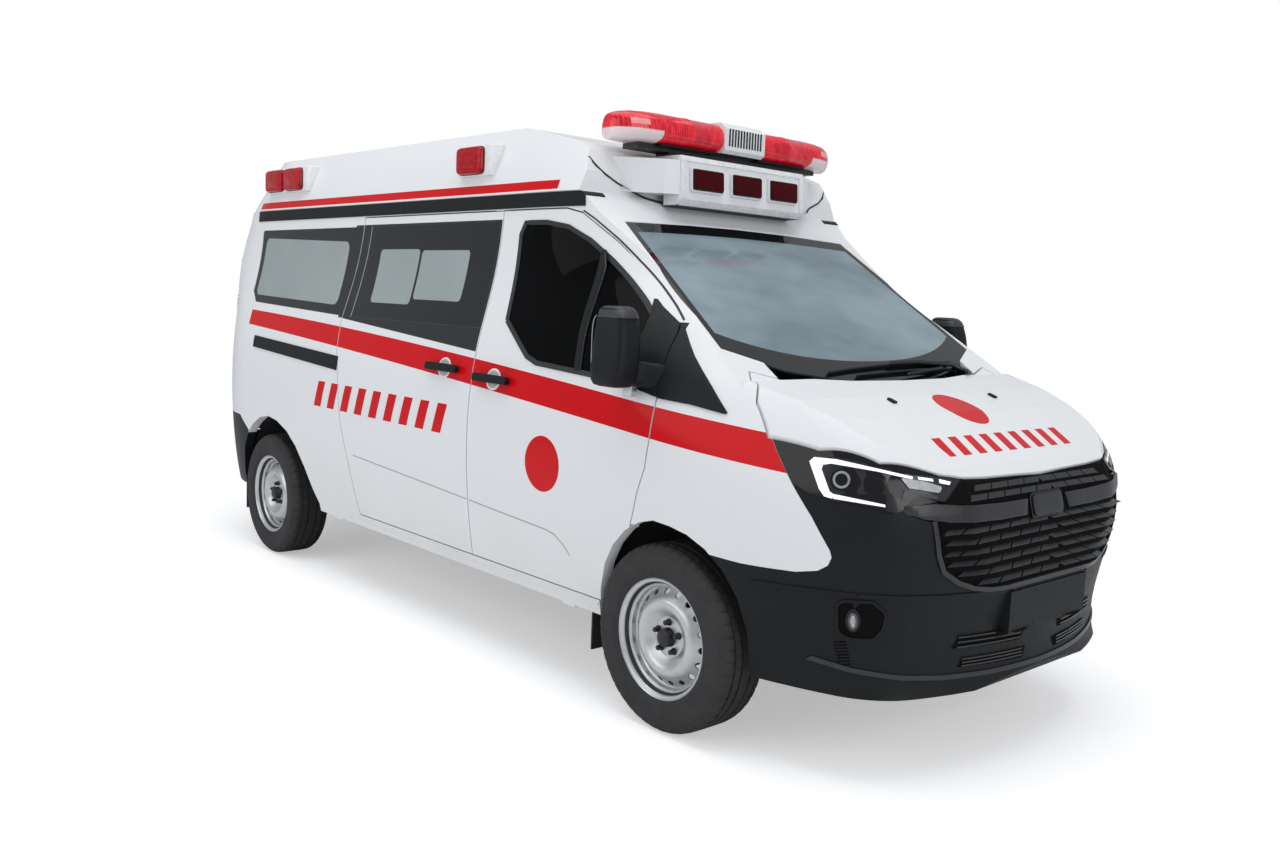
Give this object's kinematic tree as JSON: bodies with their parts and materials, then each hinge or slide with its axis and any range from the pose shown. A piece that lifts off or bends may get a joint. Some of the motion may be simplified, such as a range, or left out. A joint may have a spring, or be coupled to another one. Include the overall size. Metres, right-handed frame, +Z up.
{
  "type": "ambulance",
  "caption": "High-roof panel-van ambulance with hinged cab doors, twin rear doors, lifting hood, steered front wheels, roof light bar and side warning lamps.",
  "frame": {"origin": "on the ground under the centre of the vehicle's bounding box", "axes": "+X to the front of the vehicle, +Y to its left side, +Z up"},
  "size_m": [5.34, 2.27, 2.352],
  "materials": {
    "white_body": "gloss",
    "lamp_housing": "gloss",
    "red_lens": "gloss",
    "window_glass": "gloss",
    "lamp_glass": "gloss",
    "black_trim": "satin",
    "underbody_metal": "matte",
    "liner_plastic": "matte",
    "cabin_plastic": "matte",
    "seat_fabric": "matte",
    "cast_metal": "matte",
    "exhaust_steel": "satin",
    "flap_rubber": "matte",
    "wheel_steel": "satin",
    "tyre_rubber": "matte"
  },
  "bodies": {
    "body": {"arch_liners": "liner_plastic", "body_glass": "window_glass", "bulkhead": "cabin_plastic", "cab_frame": "white_body", "cab_seats": "seat_fabric", "cowl": "black_trim", "dashboard": "cabin_plastic", "engine_block": "cast_metal", "exhaust": "exhaust_steel", "floor_pan": "underbody_metal", "front_axle": "underbody_metal", "front_bumper": "black_trim", "front_carrier": "underbody_metal", "front_wings": "white_body", "fuel_tank": "liner_plastic", "grille": "black_trim", "headlamps": "lamp_glass", "light_bar": "lamp_housing", "light_bar_lenses": "red_lens", "mud_flaps": "flap_rubber", "rear_axle": "underbody_metal", "rear_bumper": "black_trim", "roof_lamp_box": "white_body", "roof_raised": "white_body", "roof_side_lamps": "red_lens", "side_trim": "black_trim", "side_wall_left": "white_body", "side_wall_right": "white_body", "sliding_door": "white_body", "steering_wheel": "cabin_plastic", "tail_lamps": "red_lens"},
    "knuckle_left_body": {"knuckle_left": "cast_metal"},
    "front_door_left_body": {"front_door_left": "white_body", "front_door_glass_left": "window_glass", "mirror_left": "black_trim"},
    "rear_door_left_body": {"rear_door_left": "white_body", "rear_door_glass_left": "window_glass"},
    "knuckle_right_body": {"knuckle_right": "cast_metal"},
    "front_door_right_body": {"front_door_right": "white_body", "front_door_glass_right": "window_glass", "mirror_right": "black_trim"},
    "rear_door_right_body": {"rear_door_right": "white_body", "rear_door_glass_right": "window_glass"},
    "wheel_front_left": {"wheel_rim_front_left": "wheel_steel", "tyre_front_left": "tyre_rubber"},
    "wheel_front_right": {"wheel_rim_front_right": "wheel_steel", "tyre_front_right": "tyre_rubber"},
    "wheel_rear_left": {"wheel_rim_rear_left": "wheel_steel", "tyre_rear_left": "tyre_rubber"},
    "wheel_rear_right": {"wheel_rim_rear_right": "wheel_steel", "tyre_rear_right": "tyre_rubber"},
    "hood_body": {"hood": "white_body"}
  },
  "joints": [
    {"name": "steering_left", "type": "hinge", "parent": "body", "child": "knuckle_left_body", "pos_m": [1.71, 0.82, 0.343], "axis": [0, 0, 1], "range_deg": [-30, 30]},
    {"name": "spin_front_left", "type": "hinge", "parent": "knuckle_left_body", "child": "wheel_front_left", "pos_m": [1.71, 0.868, 0.343], "axis": [0, 1, 0], "continuous": true},
    {"name": "spin_rear_left", "type": "hinge", "parent": "body", "child": "wheel_rear_left", "pos_m": [-1.59, 0.868, 0.343], "axis": [0, 1, 0], "continuous": true},
    {"name": "front_door_left_hinge", "type": "hinge", "parent": "body", "child": "front_door_left_body", "pos_m": [1.65, 0.99, 1], "axis": [0, 0.119, -0.9929], "range_deg": [0, 62]},
    {"name": "rear_door_left_hinge", "type": "hinge", "parent": "body", "child": "rear_door_left_body", "pos_m": [-2.575, 0.703, 1.2], "axis": [0, 0, -1], "range_deg": [0, 90]},
    {"name": "steering_right", "type": "hinge", "parent": "body", "child": "knuckle_right_body", "pos_m": [1.71, -0.82, 0.343], "axis": [0, 0, 1], "range_deg": [-30, 30]},
    {"name": "spin_front_right", "type": "hinge", "parent": "knuckle_right_body", "child": "wheel_front_right", "pos_m": [1.71, -0.868, 0.343], "axis": [0, 1, 0], "continuous": true},
    {"name": "spin_rear_right", "type": "hinge", "parent": "body", "child": "wheel_rear_right", "pos_m": [-1.59, -0.868, 0.343], "axis": [0, 1, 0], "continuous": true},
    {"name": "front_door_right_hinge", "type": "hinge", "parent": "body", "child": "front_door_right_body", "pos_m": [1.65, -0.99, 1], "axis": [0, 0.119, 0.9929], "range_deg": [0, 62]},
    {"name": "rear_door_right_hinge", "type": "hinge", "parent": "body", "child": "rear_door_right_body", "pos_m": [-2.575, -0.703, 1.2], "axis": [0, 0, 1], "range_deg": [0, 90]},
    {"name": "hood_hinge", "type": "hinge", "parent": "body", "child": "hood_body", "pos_m": [1.862, 0, 1.335], "axis": [0, -1, 0], "range_deg": [0, 50]}
  ],
  "couplings": [
    {"joint": "steering_right", "follows": "steering_left", "ratio": 1}
  ]
}
